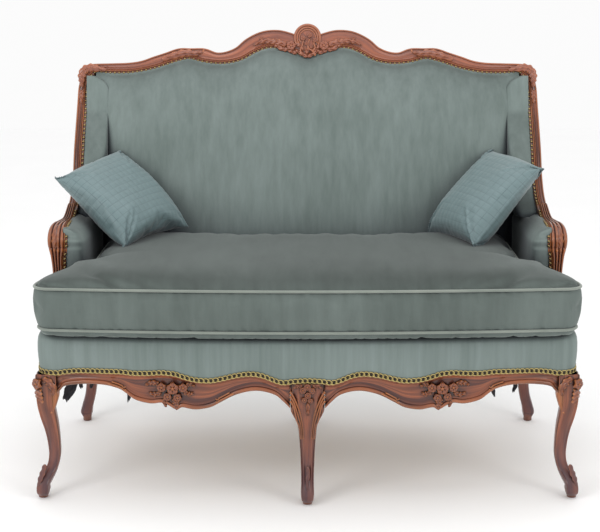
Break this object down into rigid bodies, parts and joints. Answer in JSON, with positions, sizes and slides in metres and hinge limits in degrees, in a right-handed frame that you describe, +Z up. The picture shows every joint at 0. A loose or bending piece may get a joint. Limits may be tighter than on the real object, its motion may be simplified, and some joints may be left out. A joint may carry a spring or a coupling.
{
  "type": "cabriole sofa",
  "caption": "Louis XV style winged canape with cabriole legs, carved show-wood frame, sprung seat, loose T-shaped velvet cushion and scatter cushions leaning in the wings.",
  "frame": {"origin": "middle of the bounding box, on the floor under the feet", "axes": "+X to the sitter's left as seen from the front (viewer's right), +Y from the front to the back, +Z up"},
  "size_m": [1.3386, 0.8227, 1.1203],
  "materials": {
    "walnut": "waxed, carved walnut with dark patina in the recesses",
    "beech": "plain unfinished beech of the hidden frame",
    "velvet": "worn grey-green velvet with streaked nap",
    "piping": "pale olive-beige corded piping",
    "silk": "grey-blue silk puckered in small checks",
    "jute": "jute webbing and hessian",
    "black_cloth": "thin black lining cloth",
    "gimp": "gold and black woven gimp braid",
    "brass": "aged brass nail heads",
    "steel": "plain steel wire and screws"
  },
  "bodies": {
    "frame": {"crest_rail": "walnut", "wing_rail_left": "walnut", "wing_rail_right": "walnut", "arm_rail_left": "walnut", "arm_rail_right": "walnut", "arm_support_left": "walnut", "arm_support_right": "walnut", "rear_leg_left": "walnut", "rear_leg_right": "walnut", "rear_leg_centre": "walnut", "front_leg_left": "walnut", "front_leg_right": "walnut", "front_leg_centre": "walnut", "front_rail_left": "walnut", "front_rail_right": "walnut", "side_rail_left": "walnut", "side_rail_right": "walnut", "back_rail_left": "beech", "back_rail_right": "beech", "stay_rail_left": "beech", "stay_rail_right": "beech", "cross_rail": "beech", "corner_blocks": "beech", "block_screws": "steel", "frame_dowels": "beech", "seat_webbing": "jute", "seat_springs": "steel", "spring_hessian": "jute", "edge_roll": "velvet", "seat_deck": "velvet", "back_webbing": "jute", "back_pad": "velvet", "outside_back": "velvet", "wing_pad_left": "velvet", "wing_pad_right": "velvet", "arm_pad_left": "velvet", "arm_pad_right": "velvet", "outside_side_left": "velvet", "outside_side_right": "velvet", "crest_nails": "brass", "side_nails_left": "brass", "side_nails_right": "brass", "seat_gimp": "gimp", "dust_cover": "black_cloth"},
    "seat_cushion": {"seat_cushion": "velvet", "cushion_piping": "piping"},
    "scatter_left": {"scatter_cushion_left": "silk"},
    "scatter_right": {"scatter_cushion_right": "silk"}
  },
  "joints": [
    {"name": "seat_cushion_lift", "type": "slide", "parent": "frame", "child": "seat_cushion", "axis": [0, 0, 1], "range_m": [0, 0.7]},
    {"name": "scatter_left_lift", "type": "slide", "parent": "seat_cushion", "child": "scatter_left", "axis": [0, 0, 1], "range_m": [0, 0.62]},
    {"name": "scatter_right_lift", "type": "slide", "parent": "seat_cushion", "child": "scatter_right", "axis": [0, 0, 1], "range_m": [0, 0.62]}
  ]
}
